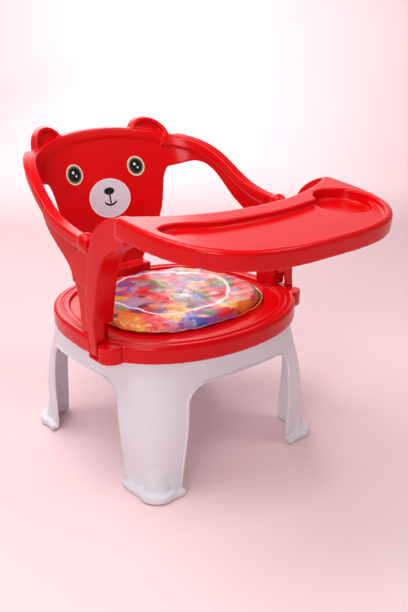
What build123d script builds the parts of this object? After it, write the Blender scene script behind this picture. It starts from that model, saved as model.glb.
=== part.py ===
from build123d import *
import math
import os

# Baby booster chair: a moulded stool, a seat pan with a squeaky cushion, a bear-shaped
# backrest whose arms end in two front posts, and a lift-off tray with two legs.
# While it is drawn, the stool's centre is at x = y = 0, the floor is z = 0 and the
# front of the chair faces -Y. At the end everything is shifted along Y, so that the
# origin is the middle of the bottom of the whole chair's bounding box.

# ---------------------------------------------------------------- driving dimensions, mm
WALL = 3.0                  # moulded wall of the stool and the pan
PAD = 2.0                   # anti-slip pad under each foot
STOOL_TOP = 170.0           # top of the white stool
ARCH_HEIGHT = 141.0         # underside of the skirt between two legs
FRONT_ARCH_FOOT = 90.0      # half width of the front and rear arches at the floor
FRONT_ARCH_HEAD = 79.0      # and at their top
SIDE_ARCH_FOOT = (-73.0, 99.0)   # from and to, along y, of the side arches at the floor
SIDE_ARCH_HEAD = (-71.0, 76.0)   # and at their top
ARCH_RADIUS = 29.0
FOOT_LEDGE = 7.0            # how far a foot stands out
LEDGE_HEIGHT = 11.0

SEAT_HALF = 152.0           # half width of the seat pan
SEAT_WIDEST = -30.0         # y where the pan is widest
SEAT_FRONT = 117.0          # from the widest place to the front
SEAT_REAR = 170.0           # from the widest place to the rear
RIM_TOP = 191.5
SEAT_FLOOR = 187.0

BACK_WALL = 3.6             # wall of the backrest and the arms
BACK_HALF = 147.0           # half distance between the arms
BACK_POWER = 3.1            # roundness of the backrest in plan
RIM_OUTSIDE = 9.0           # rolled rim along the top, measured outwards from the wall's middle
ARM_RIM_INSIDE = 5.0        # and inwards, along the arms
HEAD_RIM_INSIDE = 3.5       # and inwards, along the head
ARM_RIM_HEIGHT = 14.0
HEAD_RIM_HEIGHT = 12.0
KNOB = (148.0, -40.5, 304.5)     # middle of the round end of an arm
KNOB_RADIUS = 10.5
EAR_TOP = 400.0
EAR_RADIUS = 27.0
EAR_X = 79.0
EAR_EDGE = 5.0              # width of an ear's raised edge
EYE_X = 49.7
EYE_Z = 336.5
EYE_RADIUS = 13.3
MUZZLE_Z = 299.0
MUZZLE_WIDE = 33.0          # half width of the muzzle sticker
MUZZLE_HIGH = 26.0
STICKER = 0.5               # thickness of the stickers

POST_IN = 131.0             # inner face of a front post
POST_OUT = 154.0            # outer face of a front post
POST_FRONT = -50.0          # front face of a post at the seat

TRAY_HALF = 160.0
TRAY_FRONT = 154.0          # from the tray's widest place to its front
TRAY_WIDEST = -118.0
TRAY_PIVOT = (0.0, -180.0, 342.5)
TRAY_TILT = 5.71            # degrees, front edge lower
TRAY_SKIRT = 21.0
TRAY_EDGE = 4.0             # rounding of the tray's top edge
BELLY_CUT = 25.0            # y of the middle of the rear edge, in the tray's own plane
TRAY_FLOOR = 2.6            # thickness of the bowl's and the cup recess's floors
BOWL_DEPTH = 7.0
CUP_CENTRE = (107.0, -4.0)  # in the tray's own plane
CUP_RADIUS = 34.0
CUP_DEPTH = 13.5
LEG_PLATE = 3.0             # thickness of a tray leg
LEG_OUT = 158.5             # outer face of a tray leg
LEG_GAP = 0.8               # clearance between a tray leg and its post

CUSHION_HALF = 112.0
CUSHION_WIDEST = -16.0      # y where the cushion is widest
CUSHION_FRONT = 86.0
CUSHION_REAR = 120.0
CUSHION_BASE = 187.4
CUSHION_THICK = 9.0
FILM = 0.8
SQUEAKER_Y = -10.0

SCREW_HEAD = 7.0
SCREW_SHANK = 3.4
STOOL_SCREWS = [(sx * 92.0, y) for sx in (-1, 1) for y in (-84.0, 78.0)]
BACK_SCREWS_X = (-28.0, 0.0, 28.0)
BACK_SCREW_Y = 116.4

parts = {}


# ---------------------------------------------------------------- small helpers
def egg_wire_points(half, front, rear, power_front, power_rear, count=40):
    """Points of an egg-shaped superellipse, closer together towards the corners."""
    points = []
    for i in range(count):
        u = 2 * math.pi * i / count
        angle = u + 0.12 * math.sin(4 * u)
        depth, power = (rear, power_rear) if math.sin(angle) >= 0 else (front, power_front)
        reach = (abs(math.cos(angle) / half) ** power + abs(math.sin(angle) / depth) ** power) ** (-1 / power)
        points.append((reach * math.cos(angle), reach * math.sin(angle)))
    return points


def egg(half, front, rear, power_front, power_rear, middle_y, z):
    """A flat egg-shaped face at height z."""
    points = [(x, y + middle_y, z) for x, y in egg_wire_points(half, front, rear, power_front, power_rear)]
    return Face(Wire(Spline(points, periodic=True)))


def seat_outline(inset, z):
    """Plan of the seat pan at height z, pulled in by inset."""
    return egg(SEAT_HALF - inset, SEAT_FRONT - inset, SEAT_REAR - inset, 2.1, 2.6, SEAT_WIDEST, z)


def slab(face, height):
    return extrude(face, amount=height, dir=(0, 0, 1))


def outline_face(place, pieces):
    """A flat face from an outline in pieces: two points make a straight edge, more a smooth curve."""
    edges = []
    for piece in pieces:
        corners = [place(a, b) for a, b in piece]
        edges.append(Line(*corners) if len(corners) == 2 else Spline(corners))
    return Face(Wire(edges))


def side_prism(pieces, x_low, x_high):
    """A prism along X from an outline of (y, z) points."""
    return extrude(outline_face(lambda y, z: (x_low, y, z), pieces), amount=x_high - x_low, dir=(1, 0, 0))


def front_prism(pieces, y_low, y_high):
    """A prism along Y from an outline of (x, z) points."""
    return extrude(outline_face(lambda x, z: (x, y_low, z), pieces), amount=y_high - y_low, dir=(0, 1, 0))


def band(curve, drop):
    """The outline between a curve and the same curve lowered by drop."""
    lower = [(a, b - drop) for a, b in reversed(curve)]
    return [curve, [curve[-1], lower[0]], lower, [lower[-1], curve[0]]]


def straight(points):
    """A closed outline of straight pieces."""
    return [[points[i - 1], points[i]] for i in range(len(points))]


def box(low, high):
    size = [b - a for a, b in zip(low, high)]
    centre = [(a + b) / 2 for a, b in zip(low, high)]
    return Pos(*centre) * Box(*size)


# ---------------------------------------------------------------- white stool
STOOL_SECTIONS = (
    # height, half width, depth to the front, depth to the rear, roundness
    (0.0, 131.0, 131.0, 139.0, 9.0),
    (60.0, 135.0, 135.0, 141.0, 6.5),
    (105.0, 139.5, 139.0, 143.0, 4.2),
    (135.0, 143.0, 141.0, 143.0, 3.0),
    (STOOL_TOP, 147.0, 143.0, 142.0, 2.35),
)


def stool_body(offset, z_shift=0.0):
    """The solid inside the stool's outer skin, grown by offset."""
    faces = []
    for z, half, front, rear, power in STOOL_SECTIONS:
        faces.append(egg(half + offset, front + offset, rear + offset, power, power, 0.0, z + z_shift))
    return loft(faces)


def arch(foot, head):
    """One opening between two legs, as a prism along Y from foot and head, each (from, to)."""
    outline = [(foot[0], -20), (foot[1], -20), (head[1], ARCH_HEIGHT), (head[0], ARCH_HEIGHT)]
    prism = front_prism(straight(outline), -200, 200)
    upper_corners = prism.edges().filter_by(Axis.Y).sort_by(Axis.Z)[-2:]
    return fillet(upper_corners, ARCH_RADIUS)


def arches():
    """The openings between the legs: one prism from front to back and one from side to side."""
    along = arch((-FRONT_ARCH_FOOT, FRONT_ARCH_FOOT), (-FRONT_ARCH_HEAD, FRONT_ARCH_HEAD))
    across = arch(SIDE_ARCH_FOOT, SIDE_ARCH_HEAD)
    return [along, across.rotate(Axis.Z, 90)]


CORNER = 114.5              # middle of a leg's rounded corner at the floor
REAR_CORNER = 122.5
CORNER_RADIUS = 16.5


def leg_ridges():
    """The rounded rib down the corner of each leg, fading out under the skirt."""
    ribs = []
    for sx in (-1, 1):
        for y_low, y_high in ((-114.5, -99.0), (REAR_CORNER, 101.0)):
            low = Pos(sx * CORNER, y_low, 0) * Circle(CORNER_RADIUS)
            high = Pos(sx * 99.0, y_high, 135.0) * Circle(14.0)
            ribs.append(loft([low, high]))
    return ribs


def make_stool():
    body = stool_body(0.0)
    inner = stool_body(-WALL, -WALL)
    for rib in leg_ridges():
        body = body + rib
    # foot ledges: the same section, grown, over the lowest few millimetres
    half, rear = STOOL_SECTIONS[0][1] + FOOT_LEDGE, STOOL_SECTIONS[0][3] + FOOT_LEDGE
    body = body + slab(egg(half, half, rear, 9, 9, 0, 0), LEDGE_HEIGHT - 3)
    for sx in (-1, 1):
        for y in (-CORNER, REAR_CORNER):
            bump = extrude(Circle(CORNER_RADIUS + FOOT_LEDGE), amount=LEDGE_HEIGHT - 1)
            body = body + Pos(sx * CORNER, y, 0) * bump
    body = body - inner
    for opening in arches():
        body = body - opening
    # four screw holes in the top plate
    for x, y in STOOL_SCREWS:
        body = body - Pos(x, y, STOOL_TOP - 5) * Cylinder(SCREW_SHANK / 2 + 0.3, 20)
    # the feet stand on their pads
    body = body - box((-200, -200, -5), (200, 200, PAD))
    return body


def make_pads():
    """One thin anti-slip pad under each foot, following the foot's L-shaped edge."""
    ring = slab(egg(136.5, 136.5, 144.5, 9, 9, 0, 0), PAD) - slab(egg(129, 129, 137, 9, 9, 0, -1), PAD + 2)
    sides = {"left": (FRONT_ARCH_FOOT + 2, 200), "right": (-200, -FRONT_ARCH_FOOT - 2)}
    ends = {"front": (-200, SIDE_ARCH_FOOT[0] - 2), "rear": (SIDE_ARCH_FOOT[1] + 2, 200)}
    for end, (y_low, y_high) in ends.items():
        for side, (x_low, x_high) in sides.items():
            parts["foot_pad_" + end + "_" + side] = ring & box((x_low, y_low, -1), (x_high, y_high, 10))


# ---------------------------------------------------------------- red seat pan
SOCKET_OUT = LEG_OUT + 0.4


def make_seat():
    skin = slab(seat_outline(0, STOOL_TOP), RIM_TOP - STOOL_TOP)
    top_edge = skin.edges().filter_by_position(Axis.Z, RIM_TOP - 0.1, RIM_TOP + 0.1)
    skin = fillet(top_edge, 5.0)
    # groove behind the rolled front edge, then the sunken floor for the cushion
    groove = slab(seat_outline(8.5, RIM_TOP - 1.8), 5) - slab(seat_outline(12.0, RIM_TOP - 3), 8)
    skin = skin - groove
    skin = skin - slab(seat_outline(19.0, SEAT_FLOOR), 10)
    # hollow underside
    skin = skin - slab(seat_outline(WALL, STOOL_TOP - 1), SEAT_FLOOR - WALL - STOOL_TOP + 1)
    for sx in (-1, 1):
        skin = skin + socket_block(sx)
    for sx in (-1, 1):
        skin = skin - socket_slot(sx)
    # bosses for the screws from below
    for x, y in STOOL_SCREWS:
        boss = Pos(x, y, (STOOL_TOP + SEAT_FLOOR) / 2 - 1) * Cylinder(5.0, SEAT_FLOOR - STOOL_TOP - 2)
        hole = Pos(x, y, STOOL_TOP + 5) * Cylinder(SCREW_SHANK / 2, 14)
        skin = skin + boss - hole
    for x in BACK_SCREWS_X:
        skin = skin - Pos(x, BACK_SCREW_Y, SEAT_FLOOR - 2) * Cylinder(SCREW_SHANK / 2 + 0.3, 12)
    return skin


def socket_block(sx):
    """The pocket on the rim's front corner that takes the foot of a tray leg."""
    outline = [(138, -44), (153, -44), (SOCKET_OUT, -48), (SOCKET_OUT, -72), (156, -80), (149, -85),
               (140, -87), (130, -80)]
    face = Face(Wire(Polyline([(sx * x, y, STOOL_TOP) for x, y in outline], close=True)))
    block = slab(face, RIM_TOP - STOOL_TOP - 1.5)
    return block - slab(seat_outline(WALL, STOOL_TOP - 1), SEAT_FLOOR - WALL - STOOL_TOP + 1)


def socket_slot(sx):
    """The slot in the pocket, a little wider than the tray leg's foot and open to the outside."""
    x0, x1 = LEG_OUT - LEG_PLATE - LEG_GAP, SOCKET_OUT + 1
    low = (min(sx * x0, sx * x1), -67.6, STOOL_TOP + 3)
    high = (max(sx * x0, sx * x1), -49.0, RIM_TOP + 5)
    return box(low, high)


# ---------------------------------------------------------------- backrest with arms
def back_depth(z):
    """y of the middle of the backrest at height z: it leans back more towards the top."""
    rise = z - 206.0
    return 128.0 + 0.0496 * rise + 0.000929 * rise * rise


def back_section(z, offset):
    half = BACK_HALF + offset
    depth = back_depth(z) + offset
    round_points = []
    steps = 24
    for i in range(steps + 1):
        angle = math.pi * i / steps
        angle = angle + 0.12 * math.sin(4 * angle)
        reach = (abs(math.cos(angle) / half) ** BACK_POWER + abs(math.sin(angle) / depth) ** BACK_POWER)
        reach = reach ** (-1 / BACK_POWER)
        round_points.append((reach * math.cos(angle), reach * math.sin(angle), z))
    front = -90.0
    edges = [Line((half, front, z), (half, 0, z)),
             Spline(round_points, tangents=[(0, 1, 0), (0, -1, 0)]),
             Line((-half, 0, z), (-half, front, z)),
             Line((-half, front, z), (half, front, z))]
    return Face(Wire(edges))


def back_body(offset):
    return loft([back_section(z, offset) for z in (176, 234, 292, 350, 410)])


ARM_TOP = [(-50, 309), (-12, 313), (21, 321.5), (51, 337.5), (78, 354.5), (102, 365.5), (122, 372), (150, 378)]
ARM_BOTTOM = [(150, 333), (131, 333), (110, 340), (96, 338), (78, 327), (59, 308), (40, 292), (20, 280),
              (0, 263), (-12, 240), (-17, 215), (-18, RIM_TOP)]
HEAD_TOP = [(-120, 371), (-105, 375.5), (-82, 381.5), (-55, 386.5), (0, 390.5), (55, 386.5), (82, 381.5),
            (105, 375.5), (120, 371)]
HEAD_SIDE = [(120, 340), (106, 337), (96, 331), (91, 322), (88.5, 313), (84.8, 293), (78, 267.6),
             (64, 240), (50, 217), (44, 208), (42, RIM_TOP)]
POST_FRONT_EDGE = [(POST_FRONT, RIM_TOP), (-52, 215), (-57, 240), (-62, 262), (-64, 280), (-58, 298), (-50, 309)]


def make_back():
    wall = back_body(BACK_WALL / 2) - back_body(-BACK_WALL / 2)
    around = back_body(RIM_OUTSIDE)
    arm_thick = around - back_body(-ARM_RIM_INSIDE)
    head_thick = around - back_body(-HEAD_RIM_INSIDE)
    arm_profile = [ARM_TOP, [ARM_TOP[-1], ARM_BOTTOM[0]], ARM_BOTTOM, [ARM_BOTTOM[-1], POST_FRONT_EDGE[0]],
                   POST_FRONT_EDGE]
    arms = wall & side_prism(arm_profile, -170, 170)
    mirrored_side = [(-x, z) for x, z in reversed(HEAD_SIDE)]
    head_profile = [HEAD_TOP, [HEAD_TOP[-1], HEAD_SIDE[0]], HEAD_SIDE, [HEAD_SIDE[-1], mirrored_side[0]],
                    mirrored_side, [mirrored_side[-1], HEAD_TOP[0]]]
    head = wall & front_prism(head_profile, 85, 210)
    # rolled rim: a thicker band under the top outline
    rim = arm_thick & side_prism(band(ARM_TOP, ARM_RIM_HEIGHT), -170, 170) & box((-200, -60, 180), (200, 141, 410))
    head_rim = head_thick & front_prism(band(HEAD_TOP, HEAD_RIM_HEIGHT), 100, 210)
    body = arms + head + rim + head_rim
    for ear in make_ears():
        body = body + ear
    for sx in (-1, 1):
        body = body + post(sx)
        body = body + Pos(sx * KNOB[0], KNOB[1], KNOB[2]) * Sphere(KNOB_RADIUS)
    body = body + back_root()
    for x in BACK_SCREWS_X:
        body = body - Pos(x, BACK_SCREW_Y, 194) * Cylinder(SCREW_SHANK / 2, 17)
    return body


def make_ears():
    """Round ears behind the head's top edge, each a thin dish with a raised edge."""
    plate = back_body(8.0) - back_body(4.0)
    edge = back_body(11.0) - back_body(-1.0)
    ears = []
    for sx in (-1, 1):
        middle = Plane(origin=(sx * EAR_X, 100, EAR_TOP - EAR_RADIUS), x_dir=(1, 0, 0), z_dir=(0, 1, 0))
        disc = extrude(middle * Circle(EAR_RADIUS), amount=110)
        hole = extrude(middle * Circle(EAR_RADIUS - EAR_EDGE), amount=110)
        above = box((-130, 100, 371), (130, 210, 410))
        ears.append((plate & disc & above) + (edge & (disc - hole) & above))
    return ears


def post(sx):
    """The hollow front post under the arm, open towards the back of the chair."""
    outline = POST_FRONT_EDGE[:-1] + [(-36, 300), (-14, 286), (-12, 262), (-15, 240), (-18, 215), (-18, RIM_TOP)]
    solid = side_prism(straight(outline), POST_IN, POST_OUT)
    hollow_outline = [(POST_FRONT + 3, 180), (-49, 215), (-54, 240), (-59, 262), (-60, 278), (-40, 288),
                      (0, 275), (0, 180)]
    hollow = side_prism(straight(hollow_outline), POST_IN + 3, POST_OUT - 3)
    shell = solid - hollow
    # the outer face is narrower than the inner one, so the rear of the post is cut on a slant
    slant = Face(Wire(Polyline([(POST_IN + 3, -10, 180), (POST_OUT + 2, -10, 180), (POST_OUT + 2, -40, 180),
                                (POST_OUT - 3, -40, 180)], close=True)))
    shell = shell - slab(slant, 72)
    return shell if sx > 0 else shell.mirror(Plane.YZ)


def back_root():
    """The stepped foot of the backrest, standing on the seat pan's floor and rim."""
    upper = box((-46, 110, RIM_TOP), (46, 128, 205)) - box((-43, 113, RIM_TOP - 1), (43, 125, 202))
    lower = box((-46, 110, SEAT_FLOOR), (46, 128, RIM_TOP)) - box((-43, 113, SEAT_FLOOR - 1), (43, 129, RIM_TOP + 1))
    root = upper + (lower & slab(seat_outline(19.3, SEAT_FLOOR), 40))
    for x in BACK_SCREWS_X:
        root = root + Pos(x, BACK_SCREW_Y, (SEAT_FLOOR + 203) / 2) * Cylinder(4.0, 203 - SEAT_FLOOR)
    return root


# ---------------------------------------------------------------- face stickers
def make_stickers():
    skin = back_body(-BACK_WALL / 2) - back_body(-BACK_WALL / 2 - STICKER)
    for name, x in (("left", EYE_X), ("right", -EYE_X)):
        spot = Plane(origin=(x, 60, EYE_Z), x_dir=(1, 0, 0), z_dir=(0, 1, 0))
        parts["eye_sticker_" + name] = skin & extrude(spot * Circle(EYE_RADIUS), amount=120)
    spot = Plane(origin=(0, 60, MUZZLE_Z), x_dir=(1, 0, 0), z_dir=(0, 1, 0))
    parts["muzzle_sticker"] = skin & extrude(spot * Ellipse(MUZZLE_WIDE, MUZZLE_HIGH), amount=120)


# ---------------------------------------------------------------- tray
def tray_place(shape):
    return Pos(*TRAY_PIVOT) * Rot(TRAY_TILT, 0, 0) * shape


def tray_outline(inset, z):
    """Plan of the tray top in its own plane: a broad D with a curved cut for the child's belly."""
    half, front = TRAY_HALF - inset, TRAY_FRONT - inset
    middle_y = TRAY_WIDEST - TRAY_PIVOT[1]
    points = []
    steps = 28
    for i in range(steps + 1):
        angle = math.pi * i / steps
        angle = angle + 0.1 * math.sin(4 * angle)
        reach = (abs(math.cos(angle) / half) ** 3 + abs(math.sin(angle) / front) ** 3) ** (-1 / 3)
        points.append((reach * math.cos(angle), middle_y - reach * math.sin(angle), z))
    corner_x, corner_y = 146.0 - inset * 0.7, middle_y + 1.0 - inset
    shoulder = (156.0 - inset * 0.9, middle_y + 5.4 - inset * 0.9)
    return Face(Wire([
        Spline(points, tangents=[(0, -1, 0), (0, 1, 0)]),
        ThreePointArc((-half, middle_y, z), (-shoulder[0], shoulder[1], z), (-corner_x, corner_y, z)),
        ThreePointArc((-corner_x, corner_y, z), (0, BELLY_CUT - inset, z), (corner_x, corner_y, z)),
        ThreePointArc((corner_x, corner_y, z), (shoulder[0], shoulder[1], z), (half, middle_y, z))]))


def recess_outline(z, grow=0.0):
    """Plan of the sunken part of the tray top."""
    points = [(-140, -2), (-139, 18), (-122, 21), (-92, 9), (-50, 1), (0, -2), (50, 2), (92, 10), (122, 12),
              (139, 2), (141, -14), (134, -36), (112, -62), (78, -78), (40, -85), (0, -87), (-40, -85),
              (-78, -78), (-112, -60), (-132, -35)]
    scaled = [(x * (1 + grow / 141), y + grow * (y + 35) / 52, z) for x, y in points]
    return Face(Wire(Spline(scaled, periodic=True)))


def make_tray():
    edge_steps = [(TRAY_EDGE * (1 - math.cos(angle)), -TRAY_EDGE * (1 - math.sin(angle)))
                  for angle in (0.0, math.pi / 6, math.pi / 3, math.pi / 2)]
    top = slab(tray_outline(0, -TRAY_SKIRT), TRAY_SKIRT - TRAY_EDGE)
    top = top + loft([tray_outline(inset, z) for inset, z in edge_steps], ruled=True)
    under = slab(tray_outline(3, -TRAY_SKIRT - 1), TRAY_SKIRT - 2)
    bowl = slab(recess_outline(-BOWL_DEPTH - TRAY_FLOOR, TRAY_FLOOR), BOWL_DEPTH + TRAY_FLOOR)
    cup_block = Cylinder(CUP_RADIUS + TRAY_FLOOR, CUP_DEPTH + TRAY_FLOOR)
    cup = Pos(*CUP_CENTRE, -(CUP_DEPTH + TRAY_FLOOR) / 2) * cup_block
    plate = top - under + (bowl & top) + (cup & top)
    plate = plate - slab(recess_outline(-BOWL_DEPTH), 20)
    plate = plate - Pos(*CUP_CENTRE, 0) * Cylinder(CUP_RADIUS, 2 * CUP_DEPTH)
    body = tray_place(plate)
    for sx in (-1, 1):
        body = body + tray_leg(sx)
    return body


LEG_REAR = [(-112, 347.5), (-104, 345.5), (-84, 336), (-70, 324), (-63, 312), (-58, 296), (-52, 268), (-47, 240),
            (-46, 215), (-49.8, 190), (-50.2, 176)]
LEG_FRONT = [(-64.8, 176), (-64, 190), (-62, 215), (-67, 240), (-72, 262), (-79, 283), (-92, 301), (-110, 312),
             (-128, 322)]


def tray_leg(sx):
    """An L-section leg: an outer plate, and a flange in front of the post."""
    head = (-128, 340)
    plate = side_prism([LEG_REAR, [LEG_REAR[-1], LEG_FRONT[0]], LEG_FRONT, [LEG_FRONT[-1], head],
                        [head, LEG_REAR[0]]], LEG_OUT - LEG_PLATE, LEG_OUT)
    # flange: a strip that follows the front edge of the plate, above the seat's rim
    inner_edge = [(y + LEG_PLATE, z + 0.4) for y, z in reversed(LEG_FRONT)]
    strip = [LEG_FRONT, [LEG_FRONT[-1], inner_edge[0]], inner_edge, [inner_edge[-1], LEG_FRONT[0]]]
    wide = side_prism(strip, POST_IN, LEG_OUT) & box((0, -128, 212), (200, 0, 400))
    narrow = side_prism(strip, LEG_OUT - 15, LEG_OUT) & box((0, -128, RIM_TOP + 1), (200, 0, 214))
    leg = plate + wide + narrow
    return leg if sx > 0 else leg.mirror(Plane.YZ)


# ---------------------------------------------------------------- cushion
def cushion_outline(inset, z):
    return egg(CUSHION_HALF - inset, CUSHION_FRONT - inset, CUSHION_REAR - inset, 2.3, 2.5, CUSHION_WIDEST, z)


def make_cushion():
    base = CUSHION_BASE
    middle = base + CUSHION_THICK / 2
    half = CUSHION_THICK / 2
    top_outer = loft([cushion_outline(0, middle), cushion_outline(4, base + CUSHION_THICK)])
    top_inner = loft([cushion_outline(3, middle - 0.01), cushion_outline(4 + 3, base + CUSHION_THICK - FILM)])
    parts["cushion_top_cover"] = top_outer - top_inner
    low_outer = loft([cushion_outline(4, base), cushion_outline(0, middle)])
    low_inner = loft([cushion_outline(4 + 3, base + FILM), cushion_outline(3, middle + 0.01)])
    parts["cushion_bottom_cover"] = low_outer - low_inner
    foam = slab(cushion_outline(9, base + FILM + 0.3), CUSHION_THICK - 2 * FILM - 0.6)
    pocket = Pos(0, SQUEAKER_Y, middle) * Cylinder(12.5, half * 4)
    parts["cushion_foam"] = foam - pocket
    height = CUSHION_THICK - 2 * FILM - 0.8
    shell = Pos(0, SQUEAKER_Y, middle) * (Cylinder(12, height) - Cylinder(10.6, height - 1.6))
    for i in range(6):
        angle = math.radians(60 * i)
        shell = shell - Pos(6.5 * math.cos(angle), SQUEAKER_Y + 6.5 * math.sin(angle), middle) * Cylinder(1, 20)
    parts["squeaker_case"] = shell
    reed = Pos(0, SQUEAKER_Y, middle - height / 2 + 0.8 + 0.2) * Cylinder(9.5, 0.4)
    parts["squeaker_reed"] = reed


# ---------------------------------------------------------------- screws
def screw(x, y, top_of_head, length):
    """A pan-head screw driven upwards: the head is below."""
    head = Pos(x, y, top_of_head - 1.2) * Cylinder(SCREW_HEAD / 2, 2.4)
    shank = Pos(x, y, top_of_head + length / 2) * Cylinder(SCREW_SHANK / 2 - 0.05, length)
    slot = box((x - 2.5, y - 0.5, top_of_head - 2.6), (x + 2.5, y + 0.5, top_of_head - 1.4))
    cross = box((x - 0.5, y - 2.5, top_of_head - 2.6), (x + 0.5, y + 2.5, top_of_head - 1.4))
    return head + shank - slot - cross


def make_screws():
    parts["seat_screws"] = Compound([screw(x, y, STOOL_TOP - WALL, 13) for x, y in STOOL_SCREWS])
    parts["backrest_screws"] = Compound([screw(x, BACK_SCREW_Y, SEAT_FLOOR - WALL, 17) for x in BACK_SCREWS_X])


# ---------------------------------------------------------------- build and write
parts["base_frame"] = make_stool()
make_pads()
parts["seat_pan"] = make_seat()
parts["backrest_with_arms"] = make_back()
make_stickers()
parts["tray"] = make_tray()
make_cushion()
make_screws()

boxes = [shape.bounding_box() for shape in parts.values()]
low_y = min(b.min.Y for b in boxes)
high_y = max(b.max.Y for b in boxes)
shift = -(low_y + high_y) / 2
print("shift along Y", round(shift, 2), "extent", round(low_y, 1), round(high_y, 1))

os.makedirs("parts", exist_ok=True)
for name, shape in parts.items():
    export_step(shape.moved(Location((0, shift, 0))), "parts/" + name + ".step")
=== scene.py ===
import math

import bmesh
import bpy
import numpy as np
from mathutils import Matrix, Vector, noise
from mathutils.bvhtree import BVHTree


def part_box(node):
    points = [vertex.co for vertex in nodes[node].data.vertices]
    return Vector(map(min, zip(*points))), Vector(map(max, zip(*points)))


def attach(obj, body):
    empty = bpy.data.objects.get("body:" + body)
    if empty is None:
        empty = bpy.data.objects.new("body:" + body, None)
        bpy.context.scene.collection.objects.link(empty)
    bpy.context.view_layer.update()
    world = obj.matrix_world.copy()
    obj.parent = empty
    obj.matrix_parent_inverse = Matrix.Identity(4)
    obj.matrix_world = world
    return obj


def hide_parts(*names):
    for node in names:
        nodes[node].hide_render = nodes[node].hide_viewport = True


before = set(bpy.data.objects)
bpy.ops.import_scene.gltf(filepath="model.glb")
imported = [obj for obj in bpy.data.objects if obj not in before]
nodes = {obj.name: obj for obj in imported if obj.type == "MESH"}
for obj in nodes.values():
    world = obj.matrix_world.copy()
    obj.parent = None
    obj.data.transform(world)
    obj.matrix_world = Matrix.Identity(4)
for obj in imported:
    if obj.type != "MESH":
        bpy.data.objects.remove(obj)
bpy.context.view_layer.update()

MM = 0.001
scene = bpy.context.scene


# ------------------------------------------------------------------ places taken from the frame
def middle(*names):
    """The middle of the boxes of several CAD nodes."""
    lows, highs = zip(*(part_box(name) for name in names))
    low = np.min(np.array(lows, dtype=float), axis=0)
    high = np.max(np.array(highs, dtype=float), axis=0)
    return (low + high) / 2


PAD_FRONT = 0.1365          # from the stool's centre to the front edge of its front pads
STOOL_Y = float(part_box("foot_pad_front_left")[0][1]) + PAD_FRONT    # the stool's centre along Y


# ------------------------------------------------------------------ camera
CAMERA_FROM_STOOL = (-0.5705, -0.7482, 0.5431)
CAMERA_TURN = math.radians(-39.83)
CAMERA_DROP = math.radians(21.12)
CAMERA_LENS = 45.24


def make_camera():
    data = bpy.data.cameras.new("camera")
    data.sensor_width = 36.0
    data.sensor_fit = "AUTO"
    data.lens = CAMERA_LENS
    data.clip_end = 50.0
    camera = bpy.data.objects.new("camera", data)
    x, y, z = CAMERA_FROM_STOOL
    camera.location = (x, STOOL_Y + y, z)
    camera.rotation_euler = (math.pi / 2 - CAMERA_DROP, 0, CAMERA_TURN)
    scene.collection.objects.link(camera)
    scene.camera = camera


# ------------------------------------------------------------------ node helpers
# a colour Mix node has one set of sockets for each kind of data, so they go by number
MIX_FACTOR, MIX_A, MIX_B, MIX_RESULT = 0, 6, 7, 2


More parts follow.
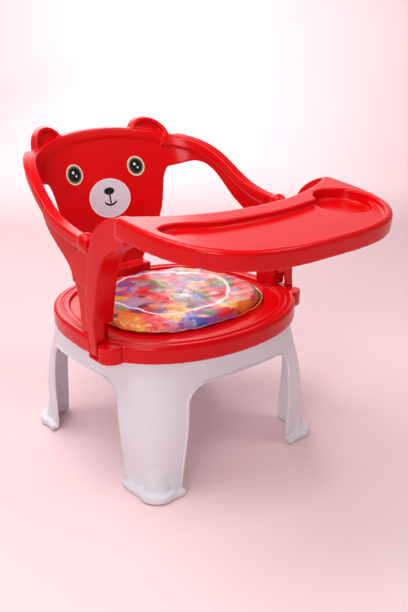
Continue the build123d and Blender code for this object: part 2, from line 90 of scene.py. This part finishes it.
class Shader:
    """A short way to build a material's nodes."""

    def __init__(self, name):
        self.material = bpy.data.materials.new(name)
        self.material.use_nodes = True
        self.tree = self.material.node_tree
        self.tree.nodes.clear()
        self.output = self.tree.nodes.new("ShaderNodeOutputMaterial")
        self.main = self.tree.nodes.new("ShaderNodeBsdfPrincipled")
        self.tree.links.new(self.main.outputs[0], self.output.inputs["Surface"])
        self.coords = self.tree.nodes.new("ShaderNodeTexCoord").outputs["Object"]

    def link(self, source, target):
        """Feed an input from a socket, a number, a vector or a colour without its alpha."""
        if isinstance(source, bpy.types.NodeSocket):
            self.tree.links.new(source, target)
        elif isinstance(source, tuple) and len(source) == 3 and len(target.default_value) == 4:
            target.default_value = (*source, 1.0)
        else:
            target.default_value = source

    def node(self, kind, inputs=(), **settings):
        made = self.tree.nodes.new(kind)
        for key, value in settings.items():
            setattr(made, key, value)
        for key, value in dict(inputs).items():
            self.link(value, made.inputs[key])
        return made

    def math(self, operation, a, b=0.0):
        return self.node("ShaderNodeMath", {0: a, 1: b}, operation=operation).outputs[0]

    def vector(self, operation, a, b=(0.0, 0.0, 0.0), scale=1.0):
        inputs = {0: a, "Scale": scale} if operation == "SCALE" else {0: a, 1: b}
        return self.node("ShaderNodeVectorMath", inputs, operation=operation).outputs[0]

    def noise(self, scale, detail=3.0, rough=0.5, vector=None, distortion=0.0):
        made = self.node("ShaderNodeTexNoise", {
            "Scale": scale, "Detail": detail, "Roughness": rough, "Distortion": distortion,
            "Vector": self.coords if vector is None else vector})
        return made.outputs["Fac"]

    def shaken(self, vector, scale, reach):
        """The vector moved about by a coloured noise, by up to half of reach each way."""
        shake = self.node("ShaderNodeTexNoise", {"Scale": scale, "Detail": 3.0, "Vector": vector})
        centred = self.vector("SUBTRACT", shake.outputs["Color"], (0.5, 0.5, 0.5))
        return self.vector("ADD", vector, self.vector("SCALE", centred, scale=reach))

    def ramp(self, value, stops, interpolation="LINEAR"):
        made = self.node("ShaderNodeValToRGB", {"Fac": value})
        made.color_ramp.interpolation = interpolation
        elements = made.color_ramp.elements
        while len(elements) < len(stops):
            elements.new(0.5)
        for element, (place, colour) in zip(elements, stops):
            element.position = place
            element.color = (*colour, 1.0)
        return made.outputs["Color"]

    def spread(self, value, low, high, to_low, to_high):
        """The value's run from low to high, mapped to the run from to_low to to_high."""
        return self.node("ShaderNodeMapRange", {
            "Value": value, "From Min": low, "From Max": high,
            "To Min": to_low, "To Max": to_high}).outputs["Result"]

    def mix(self, factor, a, b):
        made = self.node("ShaderNodeMix", data_type="RGBA")
        self.link(factor, made.inputs[MIX_FACTOR])
        self.link(a, made.inputs[MIX_A])
        self.link(b, made.inputs[MIX_B])
        return made.outputs[MIX_RESULT]

    def bump(self, height, strength, distance):
        return self.node("ShaderNodeBump", {
            "Strength": strength, "Distance": distance, "Height": height}).outputs["Normal"]

    def set(self, **values):
        """Fill the Principled inputs, whose spaces are written as underscores."""
        for key, value in values.items():
            self.link(value, self.main.inputs[key.replace("_", " ")])
        return self.material


# ------------------------------------------------------------------ materials
def moulded_plastic(name, base, deep, gloss, gloss_spread, grain):
    """Moulded plastic: slight colour drift, faint flow marks, orange peel and fine scuffs."""
    s = Shader(name)
    drift = s.noise(9.0, 2.0, 0.5)
    flow = s.noise(2.4, 4.0, 0.6, distortion=1.6)
    tint = s.math("ADD", s.math("MULTIPLY", drift, 0.6), s.math("MULTIPLY", flow, 0.4))
    colour = s.ramp(tint, [(0.30, deep), (0.62, base)])
    stretch = s.node("ShaderNodeMapping", {"Vector": s.coords, "Scale": (1.0, 0.25, 1.6)})
    scuff = s.noise(160.0, 3.0, 0.65, stretch.outputs["Vector"])
    rough = s.math("ADD", s.spread(scuff, 0.35, 0.75, gloss, gloss + gloss_spread),
                   s.math("MULTIPLY", drift, 0.05))
    peel = s.noise(420.0, 2.0, 0.5)
    ripple = s.noise(34.0, 2.0, 0.5)
    height = s.math("ADD", s.math("MULTIPLY", peel, 0.25), ripple)
    normal = s.bump(height, grain, 0.0006)
    return s.set(Base_Color=colour, Roughness=rough, Normal=normal, IOR=1.49,
                 Specular_IOR_Level=0.24)


def rubber_pad():
    s = Shader("pad_clear")
    cloud = s.noise(60.0, 3.0)
    colour = s.ramp(cloud, [(0.3, (0.62, 0.60, 0.47)), (0.7, (0.78, 0.76, 0.66))])
    normal = s.bump(s.noise(600.0, 2.0), 0.3, 0.0004)
    return s.set(Base_Color=colour, Roughness=s.spread(cloud, 0.3, 0.7, 0.42, 0.6), Normal=normal)


def steel():
    s = Shader("screw_steel")
    streak = s.noise(900.0, 2.0, 0.6)
    colour = s.ramp(streak, [(0.3, (0.42, 0.42, 0.44)), (0.7, (0.66, 0.66, 0.68))])
    return s.set(Base_Color=colour, Metallic=1.0, Roughness=s.spread(streak, 0.3, 0.7, 0.22, 0.4),
                 Normal=s.bump(streak, 0.2, 0.0002))


def foam():
    s = Shader("foam")
    cells = s.node("ShaderNodeTexVoronoi", {"Scale": 700.0, "Vector": s.coords})
    distance = cells.outputs["Distance"]
    colour = s.ramp(distance, [(0.0, (0.72, 0.66, 0.48)), (0.6, (0.92, 0.88, 0.74))])
    return s.set(Base_Color=colour, Roughness=0.95, Normal=s.bump(distance, 0.6, 0.0006))


def squeaker_plastic(name, base, deep):
    s = Shader(name)
    cloud = s.noise(120.0, 2.0)
    return s.set(Base_Color=s.ramp(cloud, [(0.3, deep), (0.7, base)]),
                 Roughness=s.spread(cloud, 0.3, 0.7, 0.25, 0.4), Normal=s.bump(cloud, 0.15, 0.0003))


def disc_distance(s, centre_x, centre_z, squash_x=1.0, squash_z=1.0):
    """Distance from a point of the face along X and Z only, in millimetres, then its two parts.

    With a squash, each part is a share of it, so that an oval's edge is at 1.
    """
    parts = s.node("ShaderNodeSeparateXYZ", {"Vector": s.coords})
    dx = s.math("MULTIPLY", s.math("SUBTRACT", parts.outputs["X"], centre_x), 1000.0 / squash_x)
    dz = s.math("MULTIPLY", s.math("SUBTRACT", parts.outputs["Z"], centre_z), 1000.0 / squash_z)
    square = s.math("ADD", s.math("MULTIPLY", dx, dx), s.math("MULTIPLY", dz, dz))
    return s.math("SQRT", square), dx, dz


def inside(s, distance, radius, soft=0.25):
    """1 inside the radius and 0 outside, with a soft printed edge."""
    return s.spread(distance, radius - soft, radius + soft, 1.0, 0.0)


def near(s, value, middle_value, reach, soft=0.25):
    """1 where the value is within reach of a middle value and 0 elsewhere, softly."""
    return inside(s, s.math("ABSOLUTE", s.math("SUBTRACT", value, middle_value)), reach, soft)


IRIS_RADIUS = 11.4          # millimetres, as are the other sizes of the prints
PUPIL_RADIUS = 8.4
GLINTS = ((-1.6, 2.9, 1.9), (2.5, -2.2, 1.35))      # across, up and radius, from the eye's middle


def eye_print(name, node):
    """A round printed eye: cream ring, grey-green iris, black pupil and two glints."""
    s = Shader(name)
    x, _, z = middle(node)
    x, z = float(x), float(z)
    away, _, _ = disc_distance(s, x, z)
    grain = s.noise(900.0, 2.0)
    iris = s.ramp(s.spread(away, 7.5, 11.6, 0.0, 1.0),
                  [(0.0, (0.010, 0.012, 0.010)), (0.35, (0.035, 0.055, 0.035)),
                   (0.85, (0.16, 0.20, 0.14)), (1.0, (0.22, 0.25, 0.18))])
    cream = s.ramp(grain, [(0.3, (0.80, 0.62, 0.42)), (0.7, (0.90, 0.74, 0.55))])
    colour = s.mix(inside(s, away, IRIS_RADIUS), cream, iris)
    colour = s.mix(inside(s, away, PUPIL_RADIUS), colour, (0.004, 0.004, 0.004))
    for dx, dz, radius in GLINTS:
        glint, _, _ = disc_distance(s, x + dx * MM, z + dz * MM)
        colour = s.mix(inside(s, glint, radius), colour, (0.92, 0.92, 0.92))
    return s.set(Base_Color=colour, Roughness=s.spread(grain, 0.3, 0.7, 0.16, 0.24),
                 Normal=s.bump(s.noise(40.0), 0.05, 0.0005), Coat_Weight=0.4, Coat_Roughness=0.08)


MUZZLE_HALF = (33.0, 26.0)
MUZZLE_EDGE = 0.945         # where the white edge starts, as a share of the muzzle
NOSE_HALF = (8.4, 4.9)
NOSE_UP = 9.5
LINE_UP = 1.6
LINE_HALF = (1.25, 9.0)
SMILE_UP = 4.0
SMILE_RADIUS = 13.0
SMILE_HALF_LINE = 1.35
SMILE_HALF_WIDTH = 9.6


def muzzle_print():
    """The printed muzzle: pale oval with a white edge, a nose, a line down and a smile."""
    s = Shader("muzzle_print")
    x, _, z = (float(v) for v in middle("muzzle_sticker"))
    grain = s.noise(700.0, 2.0)
    pale = s.ramp(grain, [(0.3, (0.66, 0.60, 0.70)), (0.7, (0.78, 0.72, 0.80))])
    rim, _, _ = disc_distance(s, x, z, *MUZZLE_HALF)
    colour = s.mix(inside(s, rim, MUZZLE_EDGE, 0.012), (0.86, 0.82, 0.86), pale)
    ink = (0.006, 0.005, 0.006)
    nose, _, _ = disc_distance(s, x, z + NOSE_UP * MM, *NOSE_HALF)
    colour = s.mix(inside(s, nose, 1.0, 0.05), colour, ink)
    _, dx, dz = disc_distance(s, x, z)
    line = s.math("MULTIPLY", near(s, dx, 0.0, LINE_HALF[0]), near(s, dz, LINE_UP, LINE_HALF[1]))
    colour = s.mix(line, colour, ink)
    # the smile is the lower part of a circle drawn with a thick line
    smile, sx, sz = disc_distance(s, x, z + SMILE_UP * MM)
    arc = s.math("MULTIPLY", near(s, smile, SMILE_RADIUS, SMILE_HALF_LINE),
                 near(s, sx, 0.0, SMILE_HALF_WIDTH))
    arc = s.math("MULTIPLY", arc, inside(s, sz, 0.0))
    colour = s.mix(arc, colour, ink)
    return s.set(Base_Color=colour, Roughness=s.spread(grain, 0.3, 0.7, 0.2, 0.28),
                 Normal=s.bump(s.noise(40.0), 0.05, 0.0005), Coat_Weight=0.35, Coat_Roughness=0.1)


RING_CENTRE = (0.002, 0.009)    # of the printed ring, from the stool's centre
RING_RADIUS = 0.079
RING_HALF_LINE = 0.0021
BLOTCHES = ((24.0, 0.56), (44.0, 0.66), (90.0, 0.76))   # cells per metre, share left bare
BLOTCH_COLOURS = [
    (0.0, (0.72, 0.42, 0.03)), (0.13, (0.05, 0.10, 0.45)), (0.24, (0.10, 0.28, 0.06)),
    (0.34, (0.34, 0.28, 0.42)), (0.44, (0.75, 0.20, 0.015)), (0.58, (0.06, 0.03, 0.045)),
    (0.68, (0.70, 0.48, 0.42)), (0.76, (0.66, 0.02, 0.06)), (0.90, (0.24, 0.08, 0.16))]


def cushion_print():
    """Generic blotchy print in warm colours with a white ring, under a clear glossy film."""
    s = Shader("cushion_print")
    warped = s.shaken(s.coords, 22.0, 0.022)
    colour = s.ramp(s.noise(20.0, 3.0, 0.55, warped),
                    [(0.32, (0.78, 0.16, 0.01)), (0.42, (0.70, 0.012, 0.012)),
                     (0.54, (0.62, 0.010, 0.02)), (0.62, (0.80, 0.10, 0.10)),
                     (0.72, (0.82, 0.34, 0.24))])
    for scale, share in BLOTCHES:
        torn = s.shaken(warped, scale * 3.2, 0.45 / scale)
        cells = s.node("ShaderNodeTexVoronoi", {"Scale": scale, "Vector": torn, "Randomness": 1.0})
        pick = s.node("ShaderNodeSeparateColor", {"Color": cells.outputs["Color"]})
        patch = s.ramp(pick.outputs["Red"], BLOTCH_COLOURS, "CONSTANT")
        chosen = s.math("GREATER_THAN", pick.outputs["Blue"], share)
        fade = s.spread(cells.outputs["Distance"], 0.25, 0.75, 0.95, 0.45)
        colour = s.mix(s.math("MULTIPLY", chosen, fade), colour, patch)
    parts = s.node("ShaderNodeSeparateXYZ", {"Vector": warped})
    dx = s.math("SUBTRACT", parts.outputs["X"], RING_CENTRE[0])
    dy = s.math("SUBTRACT", parts.outputs["Y"], STOOL_Y + RING_CENTRE[1])
    radius = s.math("SQRT", s.math("ADD", s.math("MULTIPLY", dx, dx), s.math("MULTIPLY", dy, dy)))
    ring = near(s, radius, RING_RADIUS, RING_HALF_LINE, 0.0006)
    colour = s.mix(ring, colour, (0.74, 0.68, 0.70))
    crease = s.noise(34.0, 5.0, 0.62, distortion=1.1)
    height = s.math("ADD", crease, s.math("MULTIPLY", s.noise(150.0, 3.0), 0.2))
    return s.set(Base_Color=colour, Roughness=s.spread(crease, 0.3, 0.7, 0.30, 0.42),
                 Normal=s.bump(height, 0.35, 0.002), Coat_Weight=0.55, Coat_Roughness=0.12,
                 Coat_Normal=s.bump(height, 0.5, 0.002))


# ------------------------------------------------------------------ moulded pieces
KEPT_FACES = 0.5            # share of a remeshed piece's faces that is kept


def evaluated_mesh(obj):
    """The object's mesh with its modifiers applied, as a new mesh."""
    bpy.context.view_layer.update()
    graph = bpy.context.evaluated_depsgraph_get()
    return bpy.data.meshes.new_from_object(obj.evaluated_get(graph))


def apply_modifiers(piece):
    piece.data = evaluated_mesh(piece)
    piece.modifiers.clear()


def dress(mesh, material):
    """One material and smooth shading for the whole mesh."""
    mesh.materials.clear()
    mesh.materials.append(material)
    mesh.polygons.foreach_set("use_smooth", [True] * len(mesh.polygons))


def new_piece(name, mesh, material):
    piece = bpy.data.objects.new(name, mesh)
    dress(mesh, material)
    scene.collection.objects.link(piece)
    return piece


def voxel_remesh(piece, voxel):
    remesh = piece.modifiers.new("remesh", "REMESH")
    remesh.mode = "VOXEL"
    remesh.voxel_size = voxel
    apply_modifiers(piece)


def read_points(mesh):
    points = np.empty(len(mesh.vertices) * 3)
    mesh.vertices.foreach_get("co", points)
    return points.reshape(-1, 3)


def write_points(mesh, points):
    mesh.vertices.foreach_set("co", points.ravel())
    mesh.update()


def moulded(node, name, material, voxel, rounds):
    """A copy of a CAD node with its edges rounded as a mould leaves them."""
    mesh = nodes[node].data.copy()
    piece = new_piece(name, mesh, material)
    voxel_remesh(piece, voxel * (1.0))
    solid = piece.data
    smooth = piece.modifiers.new("smooth", "SMOOTH")
    smooth.factor = 0.5
    smooth.iterations = rounds
    thin = piece.modifiers.new("thin", "DECIMATE")
    thin.ratio = KEPT_FACES
    apply_modifiers(piece)
    dress(piece.data, material)
    for old in (mesh, solid):
        bpy.data.meshes.remove(old)
    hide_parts(node)
    return piece


TUBE_SIDES = 8
NEARLY_UP = Vector((0.13, 0.21, 0.97))      # a direction that no tube runs along


def tube(name, path, radius, material, closed=False):
    """A round bead along a path of points."""
    points = [Vector(p) for p in path]
    count = len(points)
    build = bmesh.new()
    rings = []
    for i, point in enumerate(points):
        before = points[(i - 1) % count] if closed or i else point
        after = points[(i + 1) % count] if closed or i < count - 1 else point
        along = (after - before).normalized()
        side = along.cross(NEARLY_UP).normalized()
        up = side.cross(along).normalized()
        ring = []
        for j in range(TUBE_SIDES):
            angle = 2 * math.pi * j / TUBE_SIDES
            out = (side * math.cos(angle) + up * math.sin(angle)) * radius
            ring.append(build.verts.new(point + out))
        rings.append(ring)
    pairs = list(zip(rings, rings[1:]))
    if closed:
        pairs.append((rings[-1], rings[0]))
    for a, b in pairs:
        for j in range(TUBE_SIDES):
            k = (j + 1) % TUBE_SIDES
            build.faces.new((a[j], a[k], b[k], b[j]))
    if not closed:
        build.faces.new(rings[0])
        build.faces.new(list(reversed(rings[-1])))
    bmesh.ops.recalc_face_normals(build, faces=build.faces)
    mesh = bpy.data.meshes.new(name)
    build.to_mesh(mesh)
    build.free()
    return new_piece(name, mesh, material)


# ------------------------------------------------------------------ stool details
ARCH_TOP = 0.141            # height of the arches
ARCH_CORNER = 0.029         # radius of an arch's upper corners
FRONT_ARCH = (-0.090, 0.090, -0.079, 0.079)     # foot from and to, head from and to
SIDE_ARCH = (-0.073, 0.099, -0.071, 0.076)
BEAD = 0.0017               # radius of the lip round an arch
BEAD_LOW = 0.013            # where the lip ends, just above the foot's ledge
BEAD_OUT = 0.0016           # how far outside the opening it lies
ARCH_STEPS = 24             # points along each side and corner
RAY_START = 0.3             # well outside the stool
RAY_REACH = 0.2             # a hit farther than this is the stool's far side


def arch_line(foot_from, foot_to, head_from, head_to):
    """Points (along, height) of an arch's edge, from one foot over the top to the other."""
    shoulder = ARCH_TOP - ARCH_CORNER
    left_low = foot_from + (head_from - foot_from) * BEAD_LOW / ARCH_TOP
    right_low = foot_to + (head_to - foot_to) * BEAD_LOW / ARCH_TOP
    left_shoulder = foot_from + (head_from - foot_from) * shoulder / ARCH_TOP
    right_shoulder = foot_to + (head_to - foot_to) * shoulder / ARCH_TOP
    left_top, right_top = left_shoulder + ARCH_CORNER, right_shoulder - ARCH_CORNER
    shares = [i / ARCH_STEPS for i in range(ARCH_STEPS + 1)]
    line = []
    for t in shares[:-1]:
        line.append((left_low + (left_shoulder - left_low) * t,
                     BEAD_LOW + (shoulder - BEAD_LOW) * t))
    for t in shares:
        angle = math.pi / 2 * t
        line.append((left_shoulder + ARCH_CORNER * (1 - math.cos(angle)),
                     shoulder + ARCH_CORNER * math.sin(angle)))
    for t in shares[1:-1]:
        line.append((left_top + (right_top - left_top) * t, ARCH_TOP))
    for t in shares:
        angle = math.pi / 2 * (1 - t)
        line.append((right_shoulder - ARCH_CORNER * (1 - math.cos(angle)),
                     shoulder + ARCH_CORNER * math.sin(angle)))
    for t in shares[1:]:
        line.append((right_shoulder + (right_low - right_shoulder) * t,
                     shoulder + (BEAD_LOW - shoulder) * t))
    return line


def arch_beads(shell, material):
    """The small rolled lip round each of the stool's arches, laid on the shell's outer face."""
    tree = BVHTree.FromObject(shell, bpy.context.evaluated_depsgraph_get())
    for name, arch, across in (("front", FRONT_ARCH, (0, -1)), ("rear", FRONT_ARCH, (0, 1)),
                               ("right", SIDE_ARCH, (-1, 0)), ("left", SIDE_ARCH, (1, 0))):
        path = []
        middle_along = (arch[2] + arch[3]) / 2
        for along, height in arch_line(*arch):
            # a little outside the opening, so that the ray meets the shell and not the gap
            outwards = Vector((along - middle_along, height - ARCH_TOP * 0.45)).normalized()
            along, height = along + outwards.x * BEAD_OUT, height + outwards.y * BEAD_OUT
            if across[0] == 0:
                start = Vector((along, STOOL_Y + across[1] * RAY_START, height))
            else:
                start = Vector((across[0] * RAY_START, STOOL_Y + along, height))
            hit, _, _, _ = tree.ray_cast(start, Vector((-across[0], -across[1], 0)))
            if hit is not None and (hit - start).length < RAY_REACH:
                path.append(hit)
        bead = tube("arch_bead_" + name, path, BEAD, material)
        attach(bead, "chair")


# ------------------------------------------------------------------ cushion
def smooth_noise(point, scale, seed):
    return noise.noise(Vector(point) * scale + Vector((seed, seed * 0.7, seed * 1.3)))


CUSHION_VOXEL = 0.0032
CLOTH_FRAMES = 20
MOST_PUFF = 0.0026          # the cloth may move this far from the CAD shape
SECTORS = 72                # parts of a full turn in which the cushion's edge is measured
CREASE_LIFT = 0.0016
PUCKER_LIFT = 0.0022
WELD_RADIUS = 0.0011
WELD_OUT = 0.0008           # how far the weld's middle lies outside the edge
WELD_WAVE = 0.0015


def sector(angle):
    return int((angle + math.pi) / (2 * math.pi) * SECTORS) % SECTORS


def puffed_points(pad, rest):
    """The pad's points after a short cloth run with air inside, held near where they rested."""
    cloth = pad.modifiers.new("cloth", "CLOTH")
    cloth.settings.quality = 6
    cloth.settings.mass = 0.25
    cloth.settings.tension_stiffness = 12
    cloth.settings.compression_stiffness = 12
    cloth.settings.shear_stiffness = 6
    cloth.settings.bending_stiffness = 0.25
    cloth.settings.shrink_min = -0.035
    cloth.settings.use_pressure = True
    cloth.settings.uniform_pressure_force = 4.0
    cloth.settings.effector_weights.gravity = 0.0
    cloth.collision_settings.use_self_collision = False
    cloth.point_cache.frame_start = 1
    cloth.point_cache.frame_end = CLOTH_FRAMES
    for frame_number in range(1, CLOTH_FRAMES + 1):
        scene.frame_set(frame_number)
    puffed = evaluated_mesh(pad)
    pad.modifiers.clear()
    scene.frame_set(1)
    moved = read_points(puffed) - rest
    bpy.data.meshes.remove(puffed)
    length = np.linalg.norm(moved, axis=1, keepdims=True)
    return rest + moved * np.minimum(1.0, MOST_PUFF / np.maximum(length, 1e-9))


def wrinkle(points, rest, centre, reach):
    """Lift the upper side into radial puckers near the weld and broad creases in the middle."""
    low_z, high_z = rest[:, 2].min(), rest[:, 2].max()
    for i, (x, y, z) in enumerate(points):
        angle = math.atan2(y - centre[1], x - centre[0])
        away = math.hypot(x - centre[0], y - centre[1])
        edge = min(1.0, away / reach[sector(angle)])
        upper = max(0.0, (z - low_z) / (high_z - low_z))
        pucker = smooth_noise((math.cos(angle) * 2.2, math.sin(angle) * 2.2, away * 5), 7.0, 3.0)
        crease = (smooth_noise((x, y, 0), 38.0, 11.0)
                  + 0.5 * smooth_noise((x, y, 0), 90.0, 5.0))
        lift = upper * (CREASE_LIFT * crease + PUCKER_LIFT * pucker * edge ** 6)
        points[i][2] = max(low_z, z + lift)


def weld_line(centre, reach):
    """A slightly wavy ring of points just outside the cushion's edge."""
    path = []
    for i in range(SECTORS):
        angle = (i + 0.5) / SECTORS * 2 * math.pi - math.pi
        around = sum(reach[(i + k) % SECTORS] for k in (-1, 0, 1)) / 3 + WELD_OUT
        wave = smooth_noise((math.cos(angle) * 3, math.sin(angle) * 3, 0), 5.0, 9.0)
        path.append((centre[0] + around * math.cos(angle), centre[1] + around * math.sin(angle),
                     centre[2] + WELD_WAVE * wave))
    return path


def make_cushion(material):
    """The printed pad under its clear film: puffed up, then wrinkled, with a welded edge."""
    joined = bmesh.new()
    for node in ("cushion_top_cover", "cushion_bottom_cover"):
        joined.from_mesh(nodes[node].data)
    mesh = bpy.data.meshes.new("cushion_skin")
    joined.to_mesh(mesh)
    joined.free()
    pad = new_piece("cushion_skin", mesh, material)
    voxel_remesh(pad, CUSHION_VOXEL)
    rest = read_points(pad.data)
    centre = (rest.max(axis=0) + rest.min(axis=0)) / 2
    reach = {}
    for x, y, _ in rest:
        part = sector(math.atan2(y - centre[1], x - centre[0]))
        reach[part] = max(reach.get(part, 0.0), math.hypot(x - centre[0], y - centre[1]))
    points = puffed_points(pad, rest)
    wrinkle(points, rest, centre, reach)
    write_points(pad.data, points)
    finer = pad.modifiers.new("finer", "SUBSURF")
    finer.levels = 1
    finer.render_levels = 1
    apply_modifiers(pad)
    dress(pad.data, material)
    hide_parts("cushion_top_cover", "cushion_bottom_cover")
    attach(pad, "cushion")
    weld = tube("cushion_weld", weld_line(centre, reach), WELD_RADIUS, material, closed=True)
    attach(weld, "cushion")


# ------------------------------------------------------------------ stage and light
FLOOR_BACK = 3.2            # from the stool to the wall, away from the camera
FLOOR_NEAR = -6.0
FLOOR_HALF = 6.0
WALL_TOP = 5.0
FLOOR_BEND = 1.6            # radius where the floor rises into the wall
BEND_STEPS = 16
FLOOR_DROP = 0.0005


def make_stage():
    """A pale floor that bends up into a wall behind the chair."""
    s = Shader("pale_floor")
    colour = s.ramp(s.noise(0.8, 2.0), [(0.3, (0.88, 0.64, 0.67)), (0.7, (0.92, 0.72, 0.74))])
    s.set(Base_Color=colour, Roughness=0.75)
    profile = [(FLOOR_NEAR, 0.0), (FLOOR_BACK - FLOOR_BEND, 0.0)]
    for i in range(1, BEND_STEPS + 1):
        angle = math.pi / 2 * i / BEND_STEPS
        profile.append((FLOOR_BACK - FLOOR_BEND + FLOOR_BEND * math.sin(angle),
                        FLOOR_BEND - FLOOR_BEND * math.cos(angle)))
    profile.append((FLOOR_BACK, WALL_TOP))
    build = bmesh.new()
    rows = []
    for along, up in profile:
        row = []
        for across in (-FLOOR_HALF, FLOOR_HALF):
            x = across * math.cos(CAMERA_TURN) - along * math.sin(CAMERA_TURN)
            y = across * math.sin(CAMERA_TURN) + along * math.cos(CAMERA_TURN)
            row.append(build.verts.new((x, STOOL_Y + y, up)))
        rows.append(row)
    for a, b in zip(rows, rows[1:]):
        build.faces.new((a[0], a[1], b[1], b[0]))
    mesh = bpy.data.meshes.new("floor")
    build.to_mesh(mesh)
    build.free()
    floor = new_piece("floor", mesh, s.material)
    floor.location.z = -FLOOR_DROP


def area_light(name, place, target, size, power):
    """A rectangular light; the place and the target are measured from below the stool's centre."""
    data = bpy.data.lights.new(name, "AREA")
    data.shape = "RECTANGLE"
    data.size, data.size_y = size
    data.energy = power
    light = bpy.data.objects.new(name, data)
    light.location = Vector(place) + Vector((0.0, STOOL_Y, 0.0))
    aim = Vector(target) - Vector(place)
    light.rotation_euler = aim.to_track_quat("-Z", "Y").to_euler()
    scene.collection.objects.link(light)


CHAIR_MIDDLE = (0.0, 0.0, 0.2)
LIGHTS = (      # name, place, target, size, power
    ("overhead", (-0.45, 0.1, 1.6), CHAIR_MIDDLE, (1.1, 0.9), 18.0),
    ("left_front", (-1.5, -1.1, 0.9), CHAIR_MIDDLE, (0.7, 0.9), 12.0),
    ("right_front", (0.8, -1.0, 1.7), CHAIR_MIDDLE, (0.8, 0.8), 8.0),
    ("back", (0.5, 1.8, 1.3), CHAIR_MIDDLE, (1.8, 0.8), 13.0),
    ("backdrop", (0.9, 1.3, 1.5), (2.0, 2.6, 0.9), (1.6, 1.0), 34.0),
)


def make_light():
    world = bpy.data.worlds.new("soft_room")
    world.use_nodes = True
    background = world.node_tree.nodes["Background"]
    background.inputs["Color"].default_value = (1.0, 0.96, 0.96, 1.0)
    background.inputs["Strength"].default_value = 0.20
    scene.world = world
    for light in LIGHTS:
        area_light(*light)


# ------------------------------------------------------------------ build
make_camera()
make_stage()
make_light()
scene.view_settings.view_transform = "Standard"

red = moulded_plastic("red_plastic", base=(0.74, 0.002, 0.004), deep=(0.64, 0.0015, 0.003),
                      gloss=0.16, gloss_spread=0.09, grain=0.03)
white = moulded_plastic("white_plastic", base=(0.80, 0.78, 0.82), deep=(0.74, 0.72, 0.77),
                        gloss=0.30, gloss_spread=0.12, grain=0.06)

pieces = {
    "base_frame": moulded("base_frame", "stool_shell", white, 0.0011, 5),
    "seat_pan": moulded("seat_pan", "seat_shell", red, 0.0010, 8),
    "backrest_with_arms": moulded("backrest_with_arms", "bear_back_shell", red, 0.0011, 9),
    "tray": moulded("tray", "tray_shell", red, 0.0011, 12),
}
for node, piece in pieces.items():
    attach(piece, "tray" if node == "tray" else "chair")

arch_beads(pieces["base_frame"], white)
make_cushion(cushion_print())

plain = {
    "foot_pad_front_left": rubber_pad(),
    "seat_screws": steel(),
    "cushion_foam": foam(),
    "squeaker_case": squeaker_plastic("squeaker_white", (0.84, 0.84, 0.82),
                                      (0.70, 0.70, 0.68)),
    "squeaker_reed": squeaker_plastic("reed_amber", (0.86, 0.66, 0.22), (0.60, 0.42, 0.12)),
    "eye_sticker_left": eye_print("eye_left", "eye_sticker_left"),
    "eye_sticker_right": eye_print("eye_right", "eye_sticker_right"),
    "muzzle_sticker": muzzle_print(),
}
plain["backrest_screws"] = plain["seat_screws"]
for place in ("front_right", "rear_left", "rear_right"):
    plain["foot_pad_" + place] = plain["foot_pad_front_left"]
for node, material in plain.items():
    mesh = nodes[node].data
    mesh.materials.clear()
    mesh.materials.append(material)
